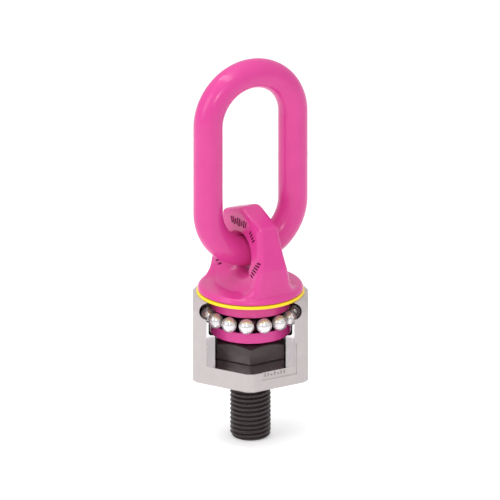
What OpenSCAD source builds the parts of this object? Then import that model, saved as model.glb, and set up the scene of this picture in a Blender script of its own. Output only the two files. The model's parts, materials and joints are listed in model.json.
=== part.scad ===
// Swivel hoist ring with a ball bearing, shown with its housing cut open.
// Millimetres. The origin is the centre of the housing's seat face, on the
// bolt axis. +Z points up through the link, and the cut opening faces -Y.

/* [Bolt] */
// Thread diameter of the bolt
thread_d = 30; // [27:1:30]
// Length of the stud below the seat face
stud_len = 50.3; // [35:0.1:90]
// Chamfer at the end of the stud
stud_chamfer = 2; // [1:0.5:3]
// Diameter of the necked shank between the head and the thread
neck_d = 27; // [24:0.5:27.5]
// Width of the bolt head across its flats
head_af = 50; // [46:1:51]
// Height of the bolt head
head_h = 19; // [16:0.5:20]

/* [Housing] */
// Width of the housing across its flats
housing_af = 85; // [84:0.5:92]
// Height of the housing
housing_h = 62; // [62:0.5:66]
// Distance from the axis to the narrow facets on the housing's corners
corner_facet = 47.4; // [46:0.1:48.5]
// Radius at which the top chamfer starts
chamfer_start_r = 41; // [40.5:0.1:42]
// Diameter of the bore that the eye turns in
bore_d = 61.7; // [61.4:0.1:62.4]
// Width of the bolt head's pocket across its flats
pocket_af = 52; // [51.5:0.1:53]
// Thickness of the housing under the bolt head
base_thick = 9.4; // [8:0.1:10]

/* [Cut opening] */
// Width of the cut opening
window_w = 64.8; // [63:0.2:68]
// Height of the cut opening's floor above the seat face
window_floor = 14.2; // [12:0.1:20]
// Upward slope of the round reliefs beside the end balls, in degrees
relief_slope = 20.4; // [15:0.1:22]

/* [Ball bearing] */
// Number of balls
ball_count = 15; // [15]
// Diameter of a ball
ball_d = 11.5; // [11:0.1:11.7]
// Diameter of the circle through the ball centres
ball_pitch_d = 63.3; // [63:0.1:63.6]
// Angle of the first ball, from +X
first_ball_angle = -95.4; // [-100:0.1:-90]
// Radial clearance between a ball and its tracks
ball_clearance = 0.35; // [0.3:0.05:0.5]

/* [Eye] */
// Diameter of the flange over the seal
flange_d = 78; // [76:0.5:79]
// Diameter of the two collars beside the ball track
collar_d = 60.2; // [59.8:0.1:60.8]
// Height of the hole's centre above the seat face
pivot_z = 92.7; // [92:0.1:95]
// Diameter of the hole at its throat
hole_d = 26; // [25:0.1:27]
// Radius of the rolled edge round the hole
hole_roll = 12; // [11.5:0.1:13]
// Diameter of the hole's mouth, where the rolled edge stops
mouth_d = 39.6; // [38:0.2:40.6]
// Height of the top of the eye above the hole's centre
crest_rise = 36.8; // [34:0.1:40]
// Thickness of the eye beside the top of the hole
eye_thick = 18.4; // [18:0.2:22]
// Chamfer on the long edges of the eye
eye_chamfer = 4; // [2:0.5:5]

/* [Link] */
// Diameter of the link's bar
link_bar_d = 21.8; // [20:0.1:22.2]
// Clear width inside the link
link_inner_w = 50.4; // [48:0.1:54]
// Length of the link's straight sides
link_straight = 66.4; // [55:0.1:90]
// Height of the bar above the hole's centre, when the link is pulled up
link_lift = 1.8; // [0:0.1:1.9]
// Turn of the link's plane about +Z, from +X, in degrees
link_turn = 30; // [0:1:60]

/* [Seal] */
// Outer diameter of the seal ring
seal_d = 79.6; // [78:0.1:80.4]
// Thickness of the seal ring
seal_thick = 2.3; // [1.8:0.1:2.5]

/* [Hidden] */
$fn = 96;

zinc_grey = [0.85, 0.81, 0.81];
black_oxide = [0.24, 0.21, 0.20];
powder_pink = [0.87, 0.36, 0.63];
seal_yellow = [0.98, 0.86, 0.05];
bearing_steel = [0.82, 0.83, 0.85];

hex_corner = 1 / cos(30);
far = 70;                       // longer than any cut needs to reach
skin = 0.01;                    // thickness of a cross-section in a hull

// Bolt
head_bottom = base_thick;
head_top = head_bottom + head_h;
head_chamfer_r = 0.956 * head_af / 2;
head_corner_r = head_af / 2 * hex_corner;
head_chamfer_h = (head_corner_r - head_chamfer_r) * tan(30);
bolt_hole_d = thread_d + 1;

// Housing
bore_floor = 27.4;
bore_corner = 2;
chamfer_drop = far - chamfer_start_r;
filler_d = 12.6;
filler_angle = 60;              // on the rear right flat
filler_recess = 0.8;
plug_gap = 0.05;
socket_af = 6;
socket_depth = 4;
panel_angle = -60;              // on the front right flat
panel_w = 29.2;
panel_h = 24;
panel_bottom = 8;
panel_shift = 0.4;
panel_depth = 0.6;

// Bearing
ball_pitch_r = ball_pitch_d / 2;
ball_z = housing_h - 16;
track_r = ball_d / 2 + ball_clearance;
ball_step = 360 / ball_count;

// Eye
collar_bottom = ball_z - 14.35;
collar_edge = 1;
collar_r = collar_d / 2;
flange_bottom = housing_h + 2.8;
flange_h = 5.2;
flange_top = flange_bottom + flange_h;
flange_r = flange_d / 2;
rim_round = 2.5;
rim_edge = 0.6;
crest_z = pivot_z + crest_rise;
crest_half = 2;
shoulder_half = 27.2;
shoulder_z = crest_z - 9.6;
waist_half = 31.6;
waist_z = pivot_z + 11.3;
knee_half = 35.6;
knee_z = pivot_z - 3.3;
knee_thick = 24.4;
foot_half = 36.2;
foot_r = 37;
fillet_r = 20;
fillet_steps = 5;

// Link
bar_r = link_bar_d / 2;
leg_offset = link_inner_w / 2 + bar_r;

// Seal
seal_inner_r = collar_r + 1.4;

// ---- shared shapes ----

module hexagon(af) rotate(30) circle(r = af / 2 * hex_corner, $fn = 6);

module ball_track() {
    translate([0, 0, ball_z])
        rotate_extrude() translate([ball_pitch_r, 0]) circle(r = track_r);
}

// Stands children on a flat of the housing: +X runs outwards from the axis
module on_flat(angle) rotate(angle) children();

// Turns children so that their +X runs along the hole of the eye
module in_link_frame() rotate(link_turn) children();

// ---- housing ----

module housing_blank() {
    intersection() {
        linear_extrude(housing_h) intersection() {
            hexagon(housing_af);
            rotate(30) hexagon(2 * corner_facet);
        }
        rotate_extrude() polygon([
            [0, 0], [far, 0], [far, housing_h - chamfer_drop],
            [chamfer_start_r, housing_h], [0, housing_h]
        ]);
    }
}

module bore() {
    corner_x = bore_d / 2 - bore_corner;
    rotate_extrude() union() {
        translate([0, bore_floor + bore_corner]) square([bore_d / 2, housing_h]);
        translate([0, bore_floor]) square([corner_x, bore_corner + 1]);
        translate([corner_x, bore_floor + bore_corner]) circle(r = bore_corner);
    }
}

module bolt_pocket() {
    translate([0, 0, base_thick]) linear_extrude(bore_floor) hexagon(pocket_af);
    translate([0, 0, -1]) cylinder(d = bolt_hole_d, h = base_thick + 2);
}

module filler_hole() {
    on_flat(filler_angle) translate([ball_pitch_r, 0, ball_z])
        rotate([0, 90, 0]) cylinder(d = filler_d, h = far);
}

// The cut goes back to the plane of the axis, with a round relief beside each end ball
module window() {
    translate([-window_w / 2, -far, window_floor]) cube([window_w, far, far]);
    for (side = [-1, 1])
        translate([side * ball_pitch_r, 0, ball_z])
            rotate([90 - relief_slope, 0, 0]) cylinder(r = track_r, h = far);
}

module marking_panel() {
    on_flat(panel_angle)
        translate([housing_af / 2 - panel_depth, panel_shift - panel_w / 2, panel_bottom])
            cube([far, panel_w, panel_h]);
}

module housing() {
    color(zinc_grey) difference() {
        housing_blank();
        bore();
        bolt_pocket();
        ball_track();
        filler_hole();
        window();
        marking_panel();
    }
}

// ---- bolt ----

module bolt_head() {
    translate([0, 0, head_bottom]) intersection() {
        linear_extrude(head_h) hexagon(head_af);
        rotate_extrude() polygon([
            [0, 0], [head_corner_r, 0], [head_corner_r, head_h - head_chamfer_h],
            [head_chamfer_r, head_h], [0, head_h]
        ]);
    }
}

module hex_bolt() {
    color(black_oxide) {
        union() {
            bolt_head();
            cylinder(d = neck_d, h = head_bottom + 1);
            rotate_extrude() polygon([
                [0, 0], [thread_d / 2, 0], [thread_d / 2, stud_chamfer - stud_len],
                [thread_d / 2 - stud_chamfer, -stud_len], [0, -stud_len]
            ]);
        }
    }
}

// ---- seal and filler plug ----

module seal_ring() {
    color(seal_yellow) translate([0, 0, housing_h]) difference() {
        cylinder(d = seal_d, h = seal_thick);
        translate([0, 0, -1]) cylinder(r = seal_inner_r, h = seal_thick + 2);
    }
}

module filler_plug() {
    outer_x = housing_af / 2 - filler_recess;
    color(black_oxide) difference() {
        on_flat(filler_angle) translate([ball_pitch_r, 0, ball_z]) rotate([0, 90, 0])
            cylinder(d = filler_d - 2 * plug_gap, h = outer_x - ball_pitch_r);
        on_flat(filler_angle) translate([outer_x - socket_depth, 0, ball_z]) rotate([0, 90, 0])
            linear_extrude(far) hexagon(socket_af);
        ball_track();
        cylinder(d = bore_d + 1, h = far);
    }
}

// ---- eye ----

// Outline of the eye above its waist, seen along the hole and drawn in by inset
function eye_outline(inset) = [
    [crest_half, crest_z - inset], [shoulder_half - inset, shoulder_z - 0.8 * inset],
    [waist_half - inset, waist_z], [inset - waist_half, waist_z],
    [inset - shoulder_half, shoulder_z - 0.8 * inset], [-crest_half, crest_z - inset]
];

module eye_prism(outline_inset, side_inset) {
    rotate([90, 0, 90]) linear_extrude(eye_thick - 2 * side_inset, center = true)
        polygon(eye_outline(outline_inset));
}

module eye_section(z, half_u, half_s) {
    translate([0, 0, z]) linear_extrude(skin) polygon([
        [half_u, half_s - eye_chamfer], [half_u - eye_chamfer, half_s],
        [eye_chamfer - half_u, half_s], [-half_u, half_s - eye_chamfer],
        [-half_u, eye_chamfer - half_s], [eye_chamfer - half_u, -half_s],
        [half_u - eye_chamfer, -half_s], [half_u, eye_chamfer - half_s]
    ]);
}

// Even thickness down to the waist, then thicker down to the knee
module eye_arch() {
    hull() {
        eye_prism(0, eye_chamfer);
        eye_prism(eye_chamfer, 0);
    }
    hull() {
        eye_section(waist_z, eye_thick / 2, waist_half);
        eye_section(knee_z, knee_thick / 2, knee_half);
    }
}

// The foot spreads in a hollow fillet from the knee down to the flange
module foot_section(step) {
    turn = 90 * step / fillet_steps;
    eye_section(
        knee_z - fillet_r * sin(turn),
        knee_thick / 2 + fillet_r * (1 - cos(turn)),
        knee_half + (foot_half - knee_half) * step / fillet_steps
    );
}

module eye_foot() {
    intersection() {
        for (step = [0 : fillet_steps - 1]) hull() {
            foot_section(step);
            foot_section(step + 1);
        }
        cylinder(r = foot_r, h = 2 * far);
    }
}

// Flange, collars and core, turned in one piece under the eye
module eye_turned() {
    rotate_extrude() difference() {
        union() {
            translate([0, collar_bottom + collar_edge])
                square([collar_r, flange_top - collar_bottom - collar_edge]);
            translate([0, collar_bottom]) square([collar_r - collar_edge, 2 * collar_edge]);
            translate([collar_r - collar_edge, collar_bottom + collar_edge])
                circle(r = collar_edge);
            translate([0, flange_bottom]) polygon([
                [0, 0], [flange_r - rim_edge, 0], [flange_r, rim_edge],
                [flange_r, flange_h - rim_round], [0, flange_h - rim_round]
            ]);
            translate([0, flange_top - rim_round - 1])
                square([flange_r - rim_round, rim_round + 1]);
            translate([flange_r - rim_round, flange_top - rim_round]) circle(r = rim_round);
        }
        translate([ball_pitch_r, ball_z]) circle(r = track_r);
    }
}

// Round hole whose edge is rolled over, so that the curved bar clears it as it tips
module eye_hole() {
    translate([0, 0, pivot_z]) rotate([0, 90, 0]) rotate_extrude() difference() {
        translate([0, -far / 2]) square([mouth_d / 2, far]);
        translate([hole_d / 2 + hole_roll, 0]) circle(r = hole_roll);
    }
}

module swivel_eye() {
    color(powder_pink) difference() {
        union() {
            eye_turned();
            in_link_frame() eye_arch();
            in_link_frame() eye_foot();
        }
        in_link_frame() eye_hole();
    }
}

// ---- link ----

module link_bow() {
    rotate([90, 0, 0]) rotate_extrude(angle = 180) translate([leg_offset, 0]) circle(r = bar_r);
}

module oblong_link() {
    bow_z = pivot_z + link_lift + leg_offset;
    color(powder_pink) in_link_frame() translate([0, 0, bow_z]) union() {
        for (side = [-1, 1])
            translate([side * leg_offset, 0, 0]) cylinder(r = bar_r, h = link_straight);
        translate([0, 0, link_straight]) link_bow();
        mirror([0, 0, 1]) link_bow();
    }
}

// ---- balls ----

module ball(index) {
    color(bearing_steel) rotate(first_ball_angle + index * ball_step)
        translate([ball_pitch_r, 0, ball_z]) sphere(d = ball_d);
}

housing();
hex_bolt();
seal_ring();
filler_plug();
swivel_eye();
oblong_link();
ball(0);  // ball_01
ball(1);  // ball_02
ball(2);  // ball_03
ball(3);  // ball_04
ball(4);  // ball_05
ball(5);  // ball_06
ball(6);  // ball_07
ball(7);  // ball_08
ball(8);  // ball_09
ball(9);  // ball_10
ball(10);  // ball_11
ball(11);  // ball_12
ball(12);  // ball_13
ball(13);  // ball_14
ball(14);  // ball_15
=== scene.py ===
import json
import math

import bmesh
import bpy
import numpy as np
from mathutils import Matrix, Vector


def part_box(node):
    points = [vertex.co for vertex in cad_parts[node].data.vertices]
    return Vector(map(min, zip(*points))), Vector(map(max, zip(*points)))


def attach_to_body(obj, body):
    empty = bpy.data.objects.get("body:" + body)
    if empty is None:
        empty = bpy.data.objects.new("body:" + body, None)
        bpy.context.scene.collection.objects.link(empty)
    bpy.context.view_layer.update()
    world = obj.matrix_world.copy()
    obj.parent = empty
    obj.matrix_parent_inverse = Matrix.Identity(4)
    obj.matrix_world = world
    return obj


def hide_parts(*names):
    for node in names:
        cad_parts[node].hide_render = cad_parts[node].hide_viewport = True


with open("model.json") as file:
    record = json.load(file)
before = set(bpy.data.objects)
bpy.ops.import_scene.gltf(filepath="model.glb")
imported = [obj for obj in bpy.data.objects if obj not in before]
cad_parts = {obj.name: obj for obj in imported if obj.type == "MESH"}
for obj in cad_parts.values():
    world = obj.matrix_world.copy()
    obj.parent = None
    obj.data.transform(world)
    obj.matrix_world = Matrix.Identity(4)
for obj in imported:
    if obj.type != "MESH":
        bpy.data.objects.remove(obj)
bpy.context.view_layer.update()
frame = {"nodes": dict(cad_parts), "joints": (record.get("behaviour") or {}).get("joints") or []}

# Swivel hoist ring. Shapes are worked out in millimetres and written in metres.
# The frame is the record's: origin on the seat face, +Z up, cut opening to -Y.

MM = 0.001


# ---------------------------------------------------------------- sizes from the frame

def box_mm(node):
    """Lowest and highest corner of a CAD node, in millimetres."""
    low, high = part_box(node)
    return np.array(low) / MM, np.array(high) / MM


def joint(name):
    return next(j for j in frame["joints"] if j["name"] == name)


housing_low, housing_high = box_mm("housing")
bolt_low, bolt_high = box_mm("hex_bolt")
seal_low, seal_high = box_mm("seal_ring")
eye_low, eye_high = box_mm("swivel_eye")
link_low, link_high = box_mm("oblong_link")

HOUSING_AF = housing_high[0] - housing_low[0]
HOUSING_H = housing_high[2]
CORNER_FACET = housing_high[1]
HEAD_AF = bolt_high[0] - bolt_low[0]
HEAD_TOP = bolt_high[2]
STUD_END = bolt_low[2]
SEAL_R = seal_high[0]
SEAL_BOTTOM, SEAL_TOP = seal_low[2], seal_high[2]
FLANGE_R = eye_high[0]
COLLAR_BOTTOM = eye_low[2]
CREST_Z = eye_high[2]

PIVOT_Z = joint("link_tilt")["pos_m"][2] / MM
AXIS_X, AXIS_Y = joint("link_tilt")["axis"][:2]
LINK_TURN = math.atan2(AXIS_Y, AXIS_X)

# The link's legs stand LEG_R to either side in its own plane, so its box gives LEG_R and the bar
LEG_R = (link_high[0] - link_high[1]) / (math.cos(LINK_TURN) - math.sin(LINK_TURN))
BAR_R = link_high[0] - LEG_R * math.cos(LINK_TURN)
LINK_TOP = link_high[2]
LINK_BOTTOM = link_low[2]

ball_boxes = [box_mm(f"ball_{i:02d}") for i in range(1, 16)]
ball_centres = [(low + high) / 2 for low, high in ball_boxes]
BALL_Z = ball_centres[0][2]
BALL_PITCH_R = float(np.mean([math.hypot(c[0], c[1]) for c in ball_centres]))

# Sizes that no box gives
TRACK_R = 6.1
CHAMFER_START_R = 41.0
BORE_R = 30.85
BORE_FLOOR = 27.4
BORE_CORNER = 2.0
POCKET_AF = 52.0
BASE_THICK = 9.4
BOLT_HOLE_R = 15.5
WINDOW_HALF = 32.4
WINDOW_FLOOR = 14.2
SIGHT_SLOPE = math.radians(20.4)
FILLER_ANGLE = math.radians(60)
FILLER_HOLE_R = 6.3
FILLER_SINK_R = 6.9
FILLER_SINK = 0.6
PLUG_R = 6.25
PANEL_ANGLE = math.radians(-60)
PANEL_DEPTH = 0.6
THREAD_R = 15.0
THREAD_PITCH = 3.5
NECK_R = 13.5


# ---------------------------------------------------------------- mesh helpers

def turned(points, angle):
    """Points turned about +Z."""
    c, s = math.cos(angle), math.sin(angle)
    p = np.asarray(points, float)
    return np.stack([c * p[:, 0] - s * p[:, 1], s * p[:, 0] + c * p[:, 1], p[:, 2]], axis=1)


def mesh_from(name, points, faces, sharp=None):
    """A mesh object from points in millimetres. Edges sharper than sharp degrees stay crisp."""
    mesh = bpy.data.meshes.new(name)
    mesh.from_pydata((np.asarray(points, float) * MM).tolist(), [], [list(f) for f in faces])
    mesh.validate()
    obj = bpy.data.objects.new(name, mesh)
    bpy.context.scene.collection.objects.link(obj)
    smooth(obj, sharp)
    return obj


def smooth(obj, sharp):
    """Smooth shading, with crisp edges where two faces meet at more than sharp degrees."""
    obj.data.polygons.foreach_set("use_smooth", [True] * len(obj.data.polygons))
    if sharp is not None:
        obj.data.set_sharp_from_angle(angle=math.radians(sharp))


def lathe(profile, segments=144):
    """Points and faces of a closed outline of (radius, height) turned round +Z."""
    count = len(profile)
    points, faces = [], []
    for i in range(segments):
        a = 2 * math.pi * i / segments
        points += [(r * math.cos(a), r * math.sin(a), z) for r, z in profile]
    for i in range(segments):
        j = (i + 1) % segments
        for k in range(count):
            m = (k + 1) % count
            faces.append((i * count + k, j * count + k, j * count + m, i * count + m))
    return points, faces


def clean(obj, merge=1e-7):
    """Joins doubled points and makes every face point outwards."""
    bm = bmesh.new()
    bm.from_mesh(obj.data)
    bmesh.ops.remove_doubles(bm, verts=bm.verts, dist=merge)
    bmesh.ops.dissolve_degenerate(bm, edges=bm.edges, dist=merge)
    bmesh.ops.recalc_face_normals(bm, faces=bm.faces)
    bm.to_mesh(obj.data)
    bm.free()
    obj.data.update()


def turned_solid(name, profile, segments=144):
    """A solid of revolution. The outline may touch the axis, where its points join into one."""
    points, faces = lathe(profile, segments)
    obj = mesh_from(name, points, faces)
    clean(obj)
    return obj


def arc(centre, radius, start, end, steps):
    """Points of an arc in a profile, with angles in degrees."""
    turns = [math.radians(start + (end - start) * i / steps) for i in range(steps + 1)]
    return [(centre[0] + radius * math.cos(t), centre[1] + radius * math.sin(t)) for t in turns]


def prism(name, outline, bottom, top):
    """A straight prism over an outline of (x, y)."""
    count = len(outline)
    points = [(x, y, bottom) for x, y in outline] + [(x, y, top) for x, y in outline]
    faces = [tuple(reversed(range(count))), tuple(range(count, 2 * count))]
    faces += [(i, (i + 1) % count, (i + 1) % count + count, i + count) for i in range(count)]
    return mesh_from(name, points, faces)


def hexagon(across_flats):
    """A hexagon with one flat facing +X."""
    r = across_flats / math.sqrt(3)
    return [
        (r * math.cos(math.radians(30 + 60 * i)), r * math.sin(math.radians(30 + 60 * i)))
        for i in range(6)
    ]


def block(name, low, high):
    """An upright block between two corners."""
    (x0, y0, z0), (x1, y1, z1) = low, high
    return prism(name, [(x0, y0), (x1, y0), (x1, y1), (x0, y1)], z0, z1)


def rod(name, radius, length, matrix, segments=96):
    """A round rod along its own +Z, placed by a matrix in millimetres."""
    obj = turned_solid(name, [(0, 0), (radius, 0), (radius, length), (0, length)], segments)
    place = matrix.copy()
    place.translation = matrix.translation * MM
    obj.data.transform(place)
    return obj


def finish_of(obj, index):
    """Marks every face of a cutter with the material slot that its cut takes."""
    obj.data.polygons.foreach_set("material_index", [index] * len(obj.data.polygons))
    return obj


def combine(obj, other, operation):
    """Joins, cuts or intersects obj with other, and removes other."""
    step = obj.modifiers.new("combine", "BOOLEAN")
    step.object = other
    step.operation = operation
    step.solver = "EXACT"
    bake_modifiers(obj)
    bpy.data.objects.remove(other)


def bake_modifiers(obj):
    bpy.context.view_layer.update()
    result = bpy.data.meshes.new_from_object(
        obj.evaluated_get(bpy.context.evaluated_depsgraph_get())
    )
    obj.modifiers.clear()
    old = obj.data
    obj.data = result
    bpy.data.meshes.remove(old)


def bevel_edges(obj, width, segments, angle):
    """Rounds every edge that turns by more than angle degrees."""
    step = obj.modifiers.new("bevel", "BEVEL")
    step.width = width * MM
    step.segments = segments
    step.limit_method = "ANGLE"
    step.angle_limit = math.radians(angle)
    step.miter_outer = "MITER_ARC"
    bake_modifiers(obj)


def dress(obj, body, materials, stands_for=()):
    """Gives a piece its materials, its body and the CAD nodes it stands for."""
    obj.data.materials.clear()
    for material in materials:
        obj.data.materials.append(material)
    return attach(obj, body, stands_for)


def attach(obj, body, stands_for=()):
    """Puts a piece on its body and the CAD nodes it stands for."""
    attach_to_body(obj, body)
    if stands_for:
        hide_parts(*stands_for)
    return obj


# ---------------------------------------------------------------- distance fields

def round_join(a, b, radius):
    """Two solids joined, with a hollow fillet between them."""
    return np.maximum(radius, np.minimum(a, b)) - np.hypot(
        np.maximum(radius - a, 0), np.maximum(radius - b, 0)
    )


def round_cut(a, b, radius):
    """What two solids share, with a rounded edge where their surfaces cross."""
    return np.minimum(-radius, np.maximum(a, b)) + np.hypot(
        np.maximum(radius + a, 0), np.maximum(radius + b, 0)
    )


def surface_of(field, low, high, step):
    """Points and quads of the surface where a field is zero, one point in each crossed cell."""
    axes = [np.arange(lo, hi + step, step) for lo, hi in zip(low, high)]
    gx, gy, gz = np.meshgrid(*axes, indexing="ij")
    values = field(np.stack([gx.ravel(), gy.ravel(), gz.ravel()], axis=1)).reshape(gx.shape)
    inside = values < 0
    cells = tuple(n - 1 for n in values.shape)
    total = np.zeros(cells + (3,))
    count = np.zeros(cells, dtype=int)
    crossings = []
    for axis in range(3):
        here = [slice(None)] * 3
        there = [slice(None)] * 3
        here[axis], there[axis] = slice(0, -1), slice(1, None)
        crossed = inside[tuple(here)] != inside[tuple(there)]
        at = np.argwhere(crossed)
        v0 = values[tuple(here)][crossed]
        v1 = values[tuple(there)][crossed]
        where = at.astype(float)
        where[:, axis] += v0 / (v0 - v1)
        others = [a for a in range(3) if a != axis]
        ok = np.ones(len(at), dtype=bool)
        for da in (0, 1):
            for db in (0, 1):
                cell = at.copy()
                cell[:, others[0]] -= da
                cell[:, others[1]] -= db
                good = np.all((cell >= 0) & (cell < np.array(cells)), axis=1)
                ok &= good
                c = cell[good]
                np.add.at(total, (c[:, 0], c[:, 1], c[:, 2]), where[good])
                np.add.at(count, (c[:, 0], c[:, 1], c[:, 2]), 1)
        crossings.append((axis, others, at[ok], v0[ok] < 0))
    used = count > 0
    number = np.full(cells, -1)
    number[used] = np.arange(used.sum())
    points = total[used] / count[used][:, None] * step + np.array(low)
    quads = []
    for axis, others, at, outward in crossings:
        ring = []
        for da, db in ((0, 0), (1, 0), (1, 1), (0, 1)):
            cell = at.copy()
            cell[:, others[0]] -= da
            cell[:, others[1]] -= db
            ring.append(number[cell[:, 0], cell[:, 1], cell[:, 2]])
        quad = np.stack(ring, axis=1)
        flip = outward if axis == 1 else ~outward
        quad[flip] = quad[flip][:, ::-1]
        quads.append(quad)
    return points, np.concatenate(quads)


def slope_of(field, points, reach=0.02):
    """The field's gradient at each point."""
    out = np.zeros_like(points)
    for axis in range(3):
        shift = np.zeros(3)
        shift[axis] = reach
        out[:, axis] = (field(points + shift) - field(points - shift)) / (2 * reach)
    return out


def settle(field, points, rounds=4):
    """Moves points onto the surface, and returns them with the surface's normals."""
    for _ in range(rounds):
        slope = slope_of(field, points)
        size = np.maximum((slope ** 2).sum(axis=1), 0.05)
        points = points - (field(points) / size)[:, None] * slope
    slope = slope_of(field, points)
    return points, slope / np.linalg.norm(slope, axis=1)[:, None]


# ---------------------------------------------------------------- materials

def new_material(name):
    material = bpy.data.materials.new(name)
    material.use_nodes = True
    tree = material.node_tree
    tree.nodes.clear()
    shader = tree.nodes.new("ShaderNodeBsdfPrincipled")
    output = tree.nodes.new("ShaderNodeOutputMaterial")
    tree.links.new(shader.outputs["BSDF"], output.inputs["Surface"])
    return material, tree, shader


def noise(tree, scale, detail=3.0, roughness=0.5, stretch=(1, 1, 1)):
    """Noise in the frame's own metres, with scale in features per metre."""
    where = tree.nodes.new("ShaderNodeTexCoord")
    mapping = tree.nodes.new("ShaderNodeMapping")
    mapping.inputs["Scale"].default_value = stretch
    texture = tree.nodes.new("ShaderNodeTexNoise")
    texture.inputs["Scale"].default_value = scale
    texture.inputs["Detail"].default_value = detail
    texture.inputs["Roughness"].default_value = roughness
    tree.links.new(where.outputs["Object"], mapping.inputs["Vector"])
    tree.links.new(mapping.outputs["Vector"], texture.inputs["Vector"])
    return texture.outputs["Fac"]


def remap(tree, value, low, high, from_low=0.3, from_high=0.7):
    """Stretches a value to run from low to high. Noise mostly lies between 0.3 and 0.7."""
    node = tree.nodes.new("ShaderNodeMapRange")
    node.inputs["From Min"].default_value = from_low
    node.inputs["From Max"].default_value = from_high
    node.inputs["To Min"].default_value = low
    node.inputs["To Max"].default_value = high
    tree.links.new(value, node.inputs["Value"])
    return node.outputs["Result"]


def blend_colours(tree, factor, first, second):
    node = tree.nodes.new("ShaderNodeMix")
    node.data_type = "RGBA"
    node.inputs["A"].default_value = (*first, 1)
    node.inputs["B"].default_value = (*second, 1)
    tree.links.new(factor, node.inputs["Factor"])
    return node.outputs["Result"]


def bump(tree, shader, height, depth_mm, below=None):
    """Surface relief, which can lie on top of a relief that is already there."""
    node = tree.nodes.new("ShaderNodeBump")
    node.inputs["Distance"].default_value = depth_mm * MM
    node.inputs["Strength"].default_value = 1.0
    tree.links.new(height, node.inputs["Height"])
    if below is not None:
        tree.links.new(below, node.inputs["Normal"])
    tree.links.new(node.outputs["Normal"], shader.inputs["Normal"])
    return node.outputs["Normal"]


def powder_coat(name, colour, deep, gloss):
    """Pink powder coat: even gloss, fine orange peel and a slight drift of colour."""
    material, tree, shader = new_material(name)
    drift = remap(tree, noise(tree, 45, 2), 0, 1)
    tree.links.new(blend_colours(tree, drift, colour, deep), shader.inputs["Base Color"])
    tree.links.new(remap(tree, noise(tree, 260, 3), 0.20, 0.27), shader.inputs["Roughness"])
    shader.inputs["Specular IOR Level"].default_value = gloss
    peel = bump(tree, shader, noise(tree, 850, 2, 0.45), 0.02)
    bump(tree, shader, noise(tree, 160, 2), 0.04, below=peel)
    return material


def zinc_coat(name, colour, deep):
    """Pale grey zinc-flake coat over a forging: satin, with a fine grain."""
    material, tree, shader = new_material(name)
    mottle = remap(tree, noise(tree, 120, 4, 0.6), 0, 1)
    tree.links.new(blend_colours(tree, mottle, colour, deep), shader.inputs["Base Color"])
    tree.links.new(remap(tree, noise(tree, 500, 4, 0.6), 0.42, 0.56), shader.inputs["Roughness"])
    shader.inputs["Metallic"].default_value = 0.25
    grain = bump(tree, shader, noise(tree, 1900, 3, 0.6), 0.02)
    bump(tree, shader, noise(tree, 240, 3), 0.05, below=grain)
    return material


def cut_steel(name, colour, deep, metallic, low, high):
    """Freshly cut steel: bright, with a faint straight lay of fine lines."""
    material, tree, shader = new_material(name)
    lay = noise(tree, 900, 4, 0.6, stretch=(1.0, 0.06, 0.06))
    tree.links.new(
        blend_colours(tree, remap(tree, lay, 0, 1), colour, deep), shader.inputs["Base Color"]
    )
    tree.links.new(remap(tree, lay, low, high), shader.inputs["Roughness"])
    shader.inputs["Metallic"].default_value = metallic
    bump(tree, shader, lay, 0.004)
    return material


def turned_steel_painted_shade(name, colour, deep):
    """Near-black turned steel: painted shade inside the bore, the ball track and the pocket."""
    material, tree, shader = new_material(name)
    rings = noise(tree, 1400, 3, 0.55, stretch=(0.05, 0.05, 1.0))
    tree.links.new(
        blend_colours(tree, remap(tree, rings, 0, 1), colour, deep), shader.inputs["Base Color"]
    )
    tree.links.new(remap(tree, rings, 0.25, 0.4), shader.inputs["Roughness"])
    shader.inputs["Metallic"].default_value = 0.8
    bump(tree, shader, rings, 0.01)
    return material


def black_oxide(name, colour, deep):
    """Blackened steel: warm dark grey, with a fine dry grain."""
    material, tree, shader = new_material(name)
    mottle = remap(tree, noise(tree, 220, 4, 0.6), 0, 1)
    tree.links.new(blend_colours(tree, mottle, colour, deep), shader.inputs["Base Color"])
    tree.links.new(remap(tree, noise(tree, 700, 4, 0.6), 0.32, 0.46), shader.inputs["Roughness"])
    shader.inputs["Metallic"].default_value = 0.6
    bump(tree, shader, noise(tree, 2200, 3, 0.6), 0.012)
    return material


def seal_polymer(name, colour, deep):
    """Yellow moulded seal: smooth, with a hint of moulding flow along its length."""
    material, tree, shader = new_material(name)
    flow = remap(tree, noise(tree, 300, 3), 0, 1)
    tree.links.new(blend_colours(tree, flow, colour, deep), shader.inputs["Base Color"])
    tree.links.new(remap(tree, noise(tree, 600, 3), 0.3, 0.42), shader.inputs["Roughness"])
    bump(tree, shader, noise(tree, 1500, 2), 0.01)
    return material


def polished_steel(name, colour, deep):
    """Lapped bearing steel: a clear mirror with the faintest haze."""
    material, tree, shader = new_material(name)
    haze = noise(tree, 1300, 4, 0.65)
    tree.links.new(
        blend_colours(tree, remap(tree, haze, 0, 1), colour, deep), shader.inputs["Base Color"]
    )
    tree.links.new(remap(tree, haze, 0.05, 0.09), shader.inputs["Roughness"])
    shader.inputs["Metallic"].default_value = 0.6
    bump(tree, shader, haze, 0.0015)
    return material


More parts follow.
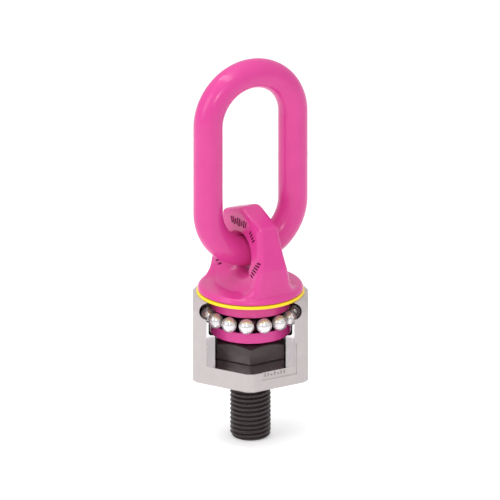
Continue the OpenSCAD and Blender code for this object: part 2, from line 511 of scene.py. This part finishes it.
PINK = powder_coat("powder_pink", (0.62, 0.048, 0.264), (0.59, 0.042, 0.247), 0.36)
# Painted shade: the eye's marks are coloured near black to stand for the shadow round stamped
# lettering.
PINK_MARK_SHADE = powder_coat("pink_marks_painted_shade", (0.13, 0.002, 0.04), (0.09, 0.001, 0.03), 0.05)
ZINC = zinc_coat("zinc_grey", (0.49, 0.443, 0.446), (0.46, 0.415, 0.417))
# Painted shade: the housing's marks are a darker grey to stand for the shadow round stamped
# lettering.
ZINC_MARK_SHADE = zinc_coat("zinc_marks_painted_shade", (0.30, 0.265, 0.265), (0.26, 0.23, 0.23))
CUT = cut_steel("cut_steel", (0.86, 0.84, 0.845), (0.83, 0.81, 0.815), 0.85, 0.08, 0.12)
LAPPED = cut_steel("lapped_steel", (0.84, 0.79, 0.81), (0.78, 0.73, 0.75), 1.0, 0.05, 0.10)
# Painted shade: the bore, pocket and holes are coloured near black for the shadow inside them.
BORE_SHADE = turned_steel_painted_shade("bore_painted_shade", (0.05, 0.045, 0.045), (0.03, 0.027, 0.027))
# Painted shade: the eye's ball track is coloured near-black magenta for the shadow in the groove.
RACE_SHADE = turned_steel_painted_shade("race_painted_shade", (0.045, 0.006, 0.020), (0.028, 0.004, 0.013))
BLACK = black_oxide("black_oxide", (0.075, 0.060, 0.061), (0.058, 0.046, 0.047))
YELLOW = seal_polymer("seal_yellow", (0.92, 0.68, 0.0), (0.86, 0.60, 0.0))
STEEL = polished_steel("bearing_steel", (0.78, 0.76, 0.78), (0.66, 0.64, 0.66))


# ---------------------------------------------------------------- housing

def outwards(angle):
    """A matrix that lays +Z outwards at right angles to a flat of the housing."""
    return Matrix.Rotation(angle, 4, "Z") @ Matrix.Rotation(math.radians(90), 4, "Y")


def corner_outline():
    """The housing's outline: a hexagon with each corner cut to a narrow facet."""
    corner = HOUSING_AF / math.sqrt(3)
    back = (corner - CORNER_FACET) * math.tan(math.radians(60))
    points = []
    for i in range(6):
        a = math.radians(30 + 60 * i)
        out = (math.cos(a), math.sin(a))
        side = (-out[1], out[0])
        for sign in (-1, 1):
            points.append(tuple(CORNER_FACET * o + sign * back * s for o, s in zip(out, side)))
    return points


def housing_blank():
    blank = prism("housing_body", corner_outline(), 0, HOUSING_H)
    reach = 60.0
    top = turned_solid("top_cone", [
        (0, -1), (reach, -1), (reach, HOUSING_H - (reach - CHAMFER_START_R)),
        (CHAMFER_START_R, HOUSING_H), (0, HOUSING_H),
    ], 240)
    combine(blank, top, "INTERSECT")
    clean(blank, 1e-6)
    bevel_edges(blank, 0.7, 3, 15)
    return blank


def bore_cutter():
    """Bore with a rounded floor corner and a small lead-in at its mouth."""
    corner = (BORE_R - BORE_CORNER, BORE_FLOOR + BORE_CORNER)
    lead = 0.5
    profile = [(0, BORE_FLOOR)] + arc(corner, BORE_CORNER, -90, 0, 8)
    profile += [(BORE_R, HOUSING_H - lead), (BORE_R + lead + 1, HOUSING_H + 1), (0, HOUSING_H + 1)]
    return turned_solid("bore", profile, 240)


def track_cutter():
    ring = arc((BALL_PITCH_R, BALL_Z), TRACK_R, 0, 360, 48)[:-1]
    return turned_solid("track", ring, 240)


def relief_cutter(side):
    """Round relief that runs from the end ball up and out of the front wall."""
    place = Matrix.Translation((side * BALL_PITCH_R, 0, BALL_Z)) @ Matrix.Rotation(
        math.radians(90) - SIGHT_SLOPE, 4, "X"
    )
    return rod("relief", TRACK_R, 70, place)


def bolt_hole_cutter():
    """Clearance hole for the stud, chamfered at the seat."""
    return turned_solid("bolt_hole", [
        (0, -2), (BOLT_HOLE_R + 1.4, -2), (BOLT_HOLE_R, 0.6),
        (BOLT_HOLE_R, BASE_THICK + 2), (0, BASE_THICK + 2),
    ], 96)


def filler_cutter():
    """The hole that the balls go in by, at track height."""
    place = outwards(FILLER_ANGLE) @ Matrix.Translation((-BALL_Z, 0, BALL_PITCH_R))
    return rod("filler", FILLER_HOLE_R, 40, place)


def filler_sink_cutter():
    """Chamfer round the mouth of the filler hole."""
    sink = turned_solid("filler_sink", [
        (0, 0), (FILLER_HOLE_R, 0), (FILLER_SINK_R, FILLER_SINK), (FILLER_SINK_R, 5), (0, 5),
    ], 96)
    place = outwards(FILLER_ANGLE) @ Matrix.Translation((-BALL_Z, 0, HOUSING_AF / 2 - FILLER_SINK))
    place.translation = place.translation * MM
    sink.data.transform(place)
    return sink


def panel_cutter():
    """Sunk panel on the flat beside the cut opening."""
    surface = HOUSING_AF / 2
    panel = block("panel", (surface - PANEL_DEPTH, -14.2, 8), (surface + 5, 15.0, 32))
    panel.data.transform(Matrix.Rotation(PANEL_ANGLE, 4, "Z"))
    return panel


def make_housing():
    """The blank, less each cutter. A cut face takes the material slot given beside its cutter."""
    body = housing_blank()
    # The bore slot is near-black steel, painted shade for the faces left by the bore, pocket and
    # holes.
    outer, cut, bore, lapped = 0, 1, 2, 3
    for material in (ZINC, CUT, BORE_SHADE, LAPPED):
        body.data.materials.append(material)
    window = block("window", (-WINDOW_HALF, -70, WINDOW_FLOOR), (WINDOW_HALF, 0, 70))
    steps = [
        (bore_cutter(), bore),
        (prism("pocket", hexagon(POCKET_AF), BASE_THICK, BORE_FLOOR + 5), bore),
        (bolt_hole_cutter(), bore),
        (track_cutter(), cut),
        (filler_cutter(), bore),
        (filler_sink_cutter(), outer),
        (panel_cutter(), outer),
        (window, cut),
        (relief_cutter(-1), cut),
        (relief_cutter(1), cut),
    ]
    for cutter, index in steps:
        for material in (ZINC, CUT, BORE_SHADE):
            cutter.data.materials.append(material)
        combine(body, finish_of(cutter, index), "DIFFERENCE")
    clean(body, 2e-6)
    for face in body.data.polygons:
        if face.normal.z > 0.99 and abs(face.center.z / MM - WINDOW_FLOOR) < 0.05:
            face.material_index = lapped
    smooth(body, 28)
    return attach(body, "base", ("housing",))


def raised_bars(name, bars, height, sink=0.3):
    """Small raised bars. Each is (centre, normal, long direction, length, width)."""
    shoulder, draft = height * 0.55, 0.16
    points, faces = [], []
    for centre, normal, along, length, width in bars:
        n = np.array(normal, float) / np.linalg.norm(normal)
        a = np.array(along, float) - np.dot(along, n) * n
        a /= np.linalg.norm(a)
        b = np.cross(n, a)
        c = np.array(centre, float)
        start = len(points)
        for level, draw in ((-sink, 0.0), (shoulder, 0.0), (height, draft)):
            for sa, sb in ((-1, -1), (1, -1), (1, 1), (-1, 1)):
                points.append(
                    c + n * level + a * sa * (length / 2 - draw) + b * sb * (width / 2 - draw)
                )
        faces.append((start + 3, start + 2, start + 1, start))
        for ring in (0, 4):
            for i in range(4):
                j = (i + 1) % 4
                faces.append((start + ring + i, start + ring + j,
                              start + ring + 4 + j, start + ring + 4 + i))
        faces.append((start + 8, start + 9, start + 10, start + 11))
    obj = mesh_from(name, points, faces)
    clean(obj)
    smooth(obj, 40)
    return obj


def make_housing_marks():
    """Generic raised bars in a row along the foot of the sunk panel, coloured darker grey as painted
    shade.
    """
    surface = HOUSING_AF / 2 - PANEL_DEPTH
    tall, short, width = 2.6, 1.4, 0.9
    first_y, spacing, row_z = -11.6, 2.7, 11.9
    bars = []
    for i, length in enumerate((tall, tall, short, tall, short, tall, tall)):
        centre = (surface, first_y + spacing * i, row_z - (tall - length) / 2)
        bars.append((centre, (1, 0, 0), (0, 0, 1), length, width))
    marks = raised_bars("housing_marks", bars, 0.45)
    marks.data.transform(Matrix.Rotation(PANEL_ANGLE, 4, "Z"))
    return dress(marks, "base", [ZINC_MARK_SHADE])


# ---------------------------------------------------------------- bolt

def thread_profile(phase):
    """Depth below the crest, in millimetres, at a phase from 0 to 1 along one pitch."""
    depth = 0.6134 * THREAD_PITCH
    # Shares of the pitch that the flat crest and the rounded root take
    crest, root = 0.125, 0.22
    flank = (1 - crest - root) / 2
    p = np.mod(phase, 1.0)
    from_crest = np.minimum(p, 1 - p)
    t = np.clip((from_crest - crest / 2) / flank, 0, 1)
    eased = t - np.sin(2 * math.pi * t) / (2 * math.pi) * 0.35
    return depth * eased


def make_stud():
    """Threaded stud with an end chamfer and a run-out into the neck under the seat."""
    rows_per_pitch, around = 18, 120
    low, high = STUD_END, 1.0
    rows = int(round((high - low) / THREAD_PITCH * rows_per_pitch))
    z = np.linspace(low, high, rows + 1)
    angle = np.arange(around) * 2 * math.pi / around
    zz, aa = np.meshgrid(z, angle, indexing="ij")
    radius = THREAD_R - thread_profile(zz / THREAD_PITCH - aa / (2 * math.pi))
    end_chamfer = THREAD_R - 2.0 + (zz - STUD_END)
    neck_run = NECK_R + np.maximum(0, 1.0 - zz) * 1.5
    radius = np.minimum(radius, np.minimum(end_chamfer, neck_run))
    points = np.stack([radius * np.cos(aa), radius * np.sin(aa), zz], axis=2).reshape(-1, 3)
    faces = []
    for i in range(rows):
        for j in range(around):
            k = (j + 1) % around
            row, above = i * around, (i + 1) * around
            faces.append((row + j, row + k, above + k, above + j))
    faces.append(tuple(reversed(range(around))))
    faces.append(tuple(range(rows * around, (rows + 1) * around)))
    return mesh_from("stud", points, faces, 40)


def make_bolt():
    """Hexagon head with a 30 degree chamfer, on a fillet, a short neck and the threaded stud."""
    corner_r = HEAD_AF / math.sqrt(3)
    chamfer_r = 0.956 * HEAD_AF / 2
    drop = (corner_r - chamfer_r) * math.tan(math.radians(30))
    head = prism("hex_bolt_threaded", hexagon(HEAD_AF), BASE_THICK, HEAD_TOP)
    cone = turned_solid("head_cone", [
        (0, BASE_THICK - 1), (corner_r + 1, BASE_THICK - 1),
        (corner_r + 1, HEAD_TOP - drop - math.tan(math.radians(30))),
        (chamfer_r, HEAD_TOP), (0, HEAD_TOP),
    ], 240)
    combine(head, cone, "INTERSECT")
    clean(head, 1e-6)
    bevel_edges(head, 0.35, 2, 15)
    fillet = 1.2
    profile = [(0, 0.5), (NECK_R, 0.5)]
    profile += arc((NECK_R + fillet, BASE_THICK - fillet), fillet, 180, 90, 5)
    profile += [(NECK_R + fillet, BASE_THICK + 1), (0, BASE_THICK + 1)]
    neck = turned_solid("neck", profile, 96)
    combine(head, neck, "UNION")
    combine(head, make_stud(), "UNION")
    clean(head, 1e-6)
    smooth(head, 32)
    return dress(head, "base", [BLACK], ("hex_bolt",))


# ---------------------------------------------------------------- seal and filler plug

def make_seal():
    """Flat seal with a rounded outer rim, a wiping lip on top and a drain groove inside it."""
    inner = 31.5
    top, rim, toe = SEAL_TOP, 1.2, 0.5
    groove_out, groove_in, groove = 37.6, 35.8, 0.5
    profile = [(inner, SEAL_BOTTOM + 0.1), (inner + 0.3, SEAL_BOTTOM)]
    profile += arc((SEAL_R - toe, SEAL_BOTTOM + toe), toe, -90, 0, 4)
    profile += arc((SEAL_R - rim, top - rim), rim, 0, 90, 6)
    profile += [(groove_out, top), (groove_out - 0.4, top - groove)]
    profile += [(groove_in + 0.4, top - groove), (groove_in, top)]
    profile += [(inner + 0.4, top), (inner, top - 0.4)]
    seal = turned_solid("seal_ring_lip", profile, 192)
    smooth(seal, 35)
    return dress(seal, "base", [YELLOW], ("seal_ring",))


def make_plug():
    """Screwed plug with a hexagon socket; its inner end carries on the ball track."""
    inner, outer = BALL_PITCH_R, HOUSING_AF / 2 - 0.8
    chamfer = 0.6
    plug = turned_solid("filler_plug_socket", [
        (0, inner), (PLUG_R, inner), (PLUG_R, outer - chamfer), (PLUG_R - chamfer, outer), (0, outer),
    ], 96)
    socket = prism("socket", hexagon(6), outer - 4, outer + 5)
    combine(plug, socket, "DIFFERENCE")
    lead = turned_solid("lead", [
        (0, outer - 1), (3.0, outer - 0.35), (4.4, outer + 0.4), (0, outer + 0.4),
    ], 48)
    combine(plug, lead, "DIFFERENCE")
    place = outwards(FILLER_ANGLE) @ Matrix.Translation((-BALL_Z, 0, 0))
    place.translation = place.translation * MM
    plug.data.transform(place)
    combine(plug, track_cutter(), "DIFFERENCE")
    clean(plug, 1e-6)
    smooth(plug, 30)
    return dress(plug, "base", [BLACK], ("filler_plug",))


# ---------------------------------------------------------------- eye

# The eye is worked out in its own axes: u along the hole, s across it in the eye's plane, z up
FLANGE_BOTTOM = HOUSING_H + 2.8
FLANGE_TOP = FLANGE_BOTTOM + 5.2
COLLAR_R = 30.1
FOOT_R = 37.2
HALF_THICK = 9.2
WAIST_Z = PIVOT_Z + 11.3
SHOULDER = (27.2, CREST_Z - 9.6)
KNEE = (35.6, PIVOT_Z - 3.3)
HOLE_R = 13.0
HOLE_ROLL = 10.0
HOLE_STRETCH = 1.08
MOUTH_R = 18.7
SADDLE_ROLL = 8.0
SADDLE_SPREAD = 11.0


def slant(x, z, at, normal):
    """Distance from a straight line in an outline, through the point at."""
    size = math.hypot(*normal)
    return ((x - at[0]) * normal[0] + (z - at[1]) * normal[1]) / size


def eye_turned_field(r, z):
    """Flange with a gently domed top, collars and the inner ball track."""
    dome = slant(r, z, (22.0, FLANGE_TOP + 0.4), (0.09, 1.0))
    flange = round_cut(r - FLANGE_R, dome, 3.6)
    flange = round_cut(flange, FLANGE_BOTTOM - z, 0.5)
    collar = round_cut(r - COLLAR_R, COLLAR_BOTTOM - z, 1.0)
    collar = np.maximum(collar, z - FLANGE_BOTTOM - 1)
    track = TRACK_R - np.hypot(r - BALL_PITCH_R, z - BALL_Z)
    return np.minimum(flange, round_cut(collar, track, 0.5))


def eye_arch_field(u, s, z):
    """The upright eye: even thickness on top, spreading below its waist, under a low gable."""
    half_u, half_s = np.abs(u), np.abs(s)
    spread = slant(half_u, z, (HALF_THICK, WAIST_Z), (1.0, 0.225))
    face = round_join(half_u - HALF_THICK, spread, 2.5)
    fillet = 15.0 - 8.0 * np.clip(half_s / 34.0, 0, 1) ** 2
    face = round_join(face, z - (FLANGE_TOP - 1.0), fillet)
    drafted = slant(half_s, z, SHOULDER, (SHOULDER[1] - KNEE[1], KNEE[0] - SHOULDER[0]))
    foot = slant(half_s, z, KNEE, (1.0, 0.035))
    crest_s = np.sqrt(s ** 2 + 4.0)
    gable = slant(crest_s, z, (2.4, CREST_Z), (0.38, 1.0))
    outline = round_cut(np.maximum(drafted, foot), gable, 1.6)
    # A narrow bevel all the way round the edge between face and outline
    edge = (face + outline + 2.6) * math.sqrt(0.5)
    return round_cut(round_cut(face, outline, 1.0), edge, 1.6)


def eye_hole_field(u, s, z):
    """Negative in the metal round the hole: a rolled edge inside, a straight mouth outside."""
    rho = np.hypot(s / HOLE_STRETCH, z - PIVOT_Z)
    roll_r = HOLE_ROLL + SADDLE_ROLL * under_hole(z)
    roll = np.hypot(rho - HOLE_R - roll_r, u) - roll_r
    return round_join(roll, MOUTH_R + SADDLE_SPREAD * under_hole(z) - rho, 2.0)


def under_hole(z):
    """Grows from 0 beside the hole to 1 at its foot, where the metal runs out as a saddle."""
    t = np.clip((PIVOT_Z - 5.0 - z) / 13.0, 0, 1)
    return t * t * (3 - 2 * t)


def eye_field(points):
    """Negative in the metal of the whole forging."""
    u, s, z = points[:, 0], points[:, 1], points[:, 2]
    r = np.hypot(u, s)
    arch = eye_arch_field(u, s, z)
    arch = round_cut(arch, r - FOOT_R, 3.0)
    arch = round_cut(arch, eye_hole_field(u, s, z), 0.9 + 4.0 * under_hole(z))
    arch = np.maximum(arch, FLANGE_BOTTOM + 1 - z)
    inward = np.clip((34.0 - r) / 10.0, 0, 1)
    fillet = 1.0 + (1.5 + 7.0 * np.exp(-(s / 20.0) ** 2)) * inward
    return round_join(eye_turned_field(r, z), arch, fillet)


def make_eye():
    """The forging, with its surface found from eye_field. The ball track is coloured near-black
    magenta as painted shade.
    """
    margin, cell = 2.0, 0.75
    low = (-FLANGE_R - margin, -FLANGE_R - margin, COLLAR_BOTTOM - margin)
    high = (FLANGE_R + margin, FLANGE_R + margin, CREST_Z + margin)
    points, quads = surface_of(eye_field, low, high, cell)
    points, normals = settle(eye_field, points)
    eye = mesh_from("swivel_eye_forging", turned(points, LINK_TURN), quads.tolist())
    eye.data.normals_split_custom_set_from_vertices(turned(normals, LINK_TURN).tolist())
    dress(eye, "eye", [PINK, RACE_SHADE], ("swivel_eye",))
    middle = points[quads].mean(axis=1)
    reach = np.hypot(np.hypot(middle[:, 0], middle[:, 1]) - BALL_PITCH_R, middle[:, 2] - BALL_Z)
    # Faces in the ball track take the near-black magenta slot, painted shade in the groove.
    in_track = (reach < TRACK_R + 0.12).astype(int)
    eye.data.polygons.foreach_set("material_index", in_track)
    return eye


def on_eye(s, z):
    """Where a line in from the -u side first meets the eye, and the normal there."""
    outside, inside = -34.0, 0.0
    for _ in range(40):
        middle = (outside + inside) / 2
        if eye_field(np.array([[middle, s, z]]))[0] > 0:
            outside = middle
        else:
            inside = middle
    point = np.array([[outside, s, z]])
    normal = slope_of(eye_field, point)[0]
    return point[0], normal / np.linalg.norm(normal)


def make_eye_marks():
    """Generic forged bars on the face that looks along -u, in four groups round the hole, coloured
    near black as painted shade.
    """
    groups = [
        # (distance to the right, height) of the first bar and of the last, and the bars' lengths
        ((-11.5, 116.8), (9.0, 118.6), (5, 6, 4, 6, 6, 4, 6, 5)),
        ((15.6, 114.8), (20.8, 109.8), (3.5, 4, 3.5, 4)),
        ((31.0, 95.5), (25.2, 84.5), (3.5, 4.5, 5, 5, 4.5, 3.5)),
        ((-26.5, 84.0), (-21.5, 79.5), (3.5, 4, 3.5)),
    ]
    bars = []
    for first, last, lengths in groups:
        for i, length in enumerate(lengths):
            t = i / (len(lengths) - 1)
            s = -(first[0] + t * (last[0] - first[0]))
            z = first[1] + t * (last[1] - first[1])
            point, normal = on_eye(s, z)
            bars.append((point, normal, (0, s, z - PIVOT_Z), length, 1.1))
    marks = raised_bars("eye_marks", bars, 0.4, 0.5)
    marks.data.transform(Matrix.Rotation(LINK_TURN, 4, "Z"))
    return dress(marks, "eye", [PINK_MARK_SHADE])


# ---------------------------------------------------------------- link

def link_path(steps_per_bow=72, steps_per_leg=24):
    """Points and outward directions along the link's centre line, in its own plane."""
    low, high = LINK_BOTTOM + BAR_R + LEG_R, LINK_TOP - BAR_R - LEG_R
    path = []
    for i in range(steps_per_bow):
        a = math.pi * i / steps_per_bow
        path.append((LEG_R * math.cos(a), high + LEG_R * math.sin(a), math.cos(a), math.sin(a)))
    for i in range(steps_per_leg):
        path.append((-LEG_R, high + (low - high) * i / steps_per_leg, -1.0, 0.0))
    for i in range(steps_per_bow):
        a = math.pi + math.pi * i / steps_per_bow
        path.append((LEG_R * math.cos(a), low + LEG_R * math.sin(a), math.cos(a), math.sin(a)))
    for i in range(steps_per_leg):
        path.append((LEG_R, low + (high - low) * i / steps_per_leg, 1.0, 0.0))
    return path


def make_link(sides=56):
    """One bar bent round and welded shut, thickened by a hair where the rear leg is welded."""
    path = link_path()
    points, faces = [], []
    weld_height, weld_width, weld_z = 0.16, 1.6, PIVOT_Z + LEG_R + 34.0
    for x, z, out_x, out_z in path:
        radius = BAR_R
        if x > LEG_R - 0.01:
            radius += weld_height * math.exp(-((z - weld_z) / weld_width) ** 2)
        for k in range(sides):
            a = 2 * math.pi * k / sides
            out, side = radius * math.cos(a), radius * math.sin(a)
            points.append((x + out * out_x, side, z + out * out_z))
    count = len(path)
    for i in range(count):
        j = (i + 1) % count
        for k in range(sides):
            m = (k + 1) % sides
            faces.append((i * sides + k, i * sides + m, j * sides + m, j * sides + k))
    link = mesh_from("oblong_link_bar", turned(points, LINK_TURN), faces)
    clean(link)
    smooth(link, None)
    return dress(link, "link", [PINK], ("oblong_link",))


# ---------------------------------------------------------------- the object

make_housing()
make_housing_marks()
make_bolt()
make_seal()
make_plug()
make_eye()
make_eye_marks()
make_link()
for index in range(len(ball_boxes)):
    ball = frame["nodes"][f"ball_{index + 1:02d}"]
    ball.material_slots[0].material = STEEL


# ---------------------------------------------------------------- stage, light and camera

CENTRE = (0, 0, 0.09)
LIGHTS = [
    # name, place, width and height in metres, watts
    ("key", (-1.1, -0.75, 0.75), (0.6, 0.8), 4),
    ("front", (0, -1.32, 0.79), (0.16, 0.16), 2.2),
    ("top", (-0.2, 0.1, 1.3), (0.8, 0.8), 1),
    ("strip", (-0.25, -0.2, 1.1), (1.2, 0.1), 3.5),
]
PICTURE_WIDTH = 0.3681
PICTURE_CENTRE = (-0.00033, 0, 0.0945)


def make_floor():
    """A pale floor just under the stud's end, which glows a little so that it reads as white."""
    gap = 0.0004
    z = STUD_END * MM - gap
    half = 4.0
    mesh = bpy.data.meshes.new("floor")
    mesh.from_pydata([(-half, -half, z), (half, -half, z), (half, half, z), (-half, half, z)],
                     [], [(0, 1, 2, 3)])
    floor = bpy.data.objects.new("floor", mesh)
    bpy.context.scene.collection.objects.link(floor)
    material, _, shader = new_material("pale_floor")
    shader.inputs["Base Color"].default_value = (0.9, 0.9, 0.9, 1)
    shader.inputs["Roughness"].default_value = 0.9
    shader.inputs["Emission Color"].default_value = (1, 1, 1, 1)
    shader.inputs["Emission Strength"].default_value = 0.25
    mesh.materials.append(material)


def soft_box(name, place, size, watts):
    """A rectangular lamp that looks at the object."""
    data = bpy.data.lights.new(name, "AREA")
    data.shape = "RECTANGLE"
    data.size, data.size_y = size
    data.energy = watts
    lamp = bpy.data.objects.new(name, data)
    bpy.context.scene.collection.objects.link(lamp)
    lamp.location = place
    aim = Vector(CENTRE) - Vector(place)
    lamp.rotation_mode = "QUATERNION"
    lamp.rotation_quaternion = aim.to_track_quat("-Z", "Y")


def make_camera():
    """The photo's parallel view: square to the cut opening and a little from above."""
    back = Vector((0, -math.cos(SIGHT_SLOPE), math.sin(SIGHT_SLOPE)))
    data = bpy.data.cameras.new("camera")
    data.type = "ORTHO"
    data.ortho_scale = PICTURE_WIDTH
    data.clip_end = 20
    camera = bpy.data.objects.new("camera", data)
    bpy.context.scene.collection.objects.link(camera)
    camera.location = Vector(PICTURE_CENTRE) + back * 1.2
    camera.rotation_mode = "QUATERNION"
    camera.rotation_quaternion = (-back).to_track_quat("-Z", "Y")
    bpy.context.scene.camera = camera


def light_sky(tree):
    """An even white sky that is a little dimmer towards the horizon."""
    where = tree.nodes.new("ShaderNodeTexCoord")
    split = tree.nodes.new("ShaderNodeSeparateXYZ")
    tree.links.new(where.outputs["Generated"], split.inputs["Vector"])
    strength = remap(tree, split.outputs["Z"], 0.70, 1.0, 0.0, 0.9)
    background = tree.nodes["Background"]
    background.inputs["Color"].default_value = (1, 1, 1, 1)
    tree.links.new(strength, background.inputs["Strength"])


make_floor()
for light in LIGHTS:
    soft_box(*light)
world = bpy.data.worlds.new("studio")
bpy.context.scene.world = world
world.use_nodes = True
light_sky(world.node_tree)
bpy.context.scene.view_settings.view_transform = "Standard"
make_camera()
